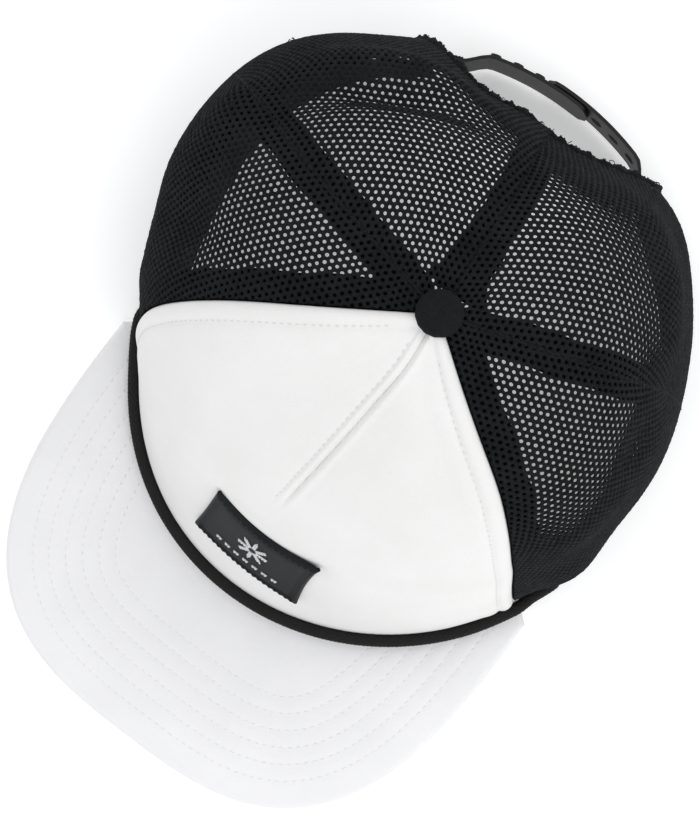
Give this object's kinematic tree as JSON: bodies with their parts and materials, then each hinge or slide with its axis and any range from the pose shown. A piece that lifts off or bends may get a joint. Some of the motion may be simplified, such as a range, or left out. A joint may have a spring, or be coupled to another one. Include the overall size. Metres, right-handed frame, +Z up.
{
  "type": "trucker mesh cap",
  "caption": "Five-panel rope trucker cap with a foam front, mesh sides and back, flat stitched visor and a snap strap in two halves.",
  "frame": {"origin": "middle of the bottom of the bounding box, on the surface that the cap stands on", "axes": "+Z up, the visor points along -Y, +X is the wearer's left"},
  "size_m": [0.1904, 0.2668, 0.1128],
  "materials": {
    "white_jersey": "smooth knitted face, foam backed",
    "white_foam": "open-cell foam with a knitted scrim",
    "black_mesh": "matt open polyester mesh",
    "black_tape": "matt woven tape",
    "sweatband_cloth": "matt brushed cloth",
    "black_rope": "braided, slight sheen",
    "label_weave": "dense woven patch",
    "visor_cloth": "smooth knitted face",
    "visor_plastic": "moulded",
    "button_cloth": "matt, stretched over a disc",
    "button_steel": "stamped",
    "strap_plastic": "satin moulded"
  },
  "bodies": {
    "crown": {"front_panel": "white_jersey", "front_foam": "white_foam", "side_mesh_right": "black_mesh", "side_mesh_left": "black_mesh", "back_mesh_right": "black_mesh", "back_mesh_left": "black_mesh", "seam_tape_front_right": "black_tape", "seam_tape_front_left": "black_tape", "seam_tape_side_right": "black_tape", "seam_tape_side_left": "black_tape", "seam_tape_back": "black_tape", "hem_tape_right": "black_tape", "hem_tape_left": "black_tape", "sweatband": "sweatband_cloth", "arch_binding": "black_tape", "front_rope": "black_rope", "front_label": "label_weave", "visor_under_cover": "visor_cloth", "visor_board": "visor_plastic", "visor_top_cover": "visor_cloth", "button_cover": "button_cloth", "button_rivet": "button_steel", "button_washer": "button_steel", "strap_anchor_right": "strap_plastic", "strap_anchor_left": "strap_plastic"},
    "peg_strap": {"strap_peg_half": "strap_plastic"},
    "hole_strap": {"strap_hole_half": "strap_plastic"}
  },
  "joints": [
    {"name": "peg_strap_swing", "type": "hinge", "parent": "crown", "child": "peg_strap", "pos_m": [-0.0429, 0.11847, 0.0115], "axis": [0, 0, -1], "range_deg": [0, 40]},
    {"name": "hole_strap_swing", "type": "hinge", "parent": "crown", "child": "hole_strap", "pos_m": [0.0343, 0.11845, 0.0115], "axis": [0, 0, -1], "range_deg": [0, 36]}
  ]
}
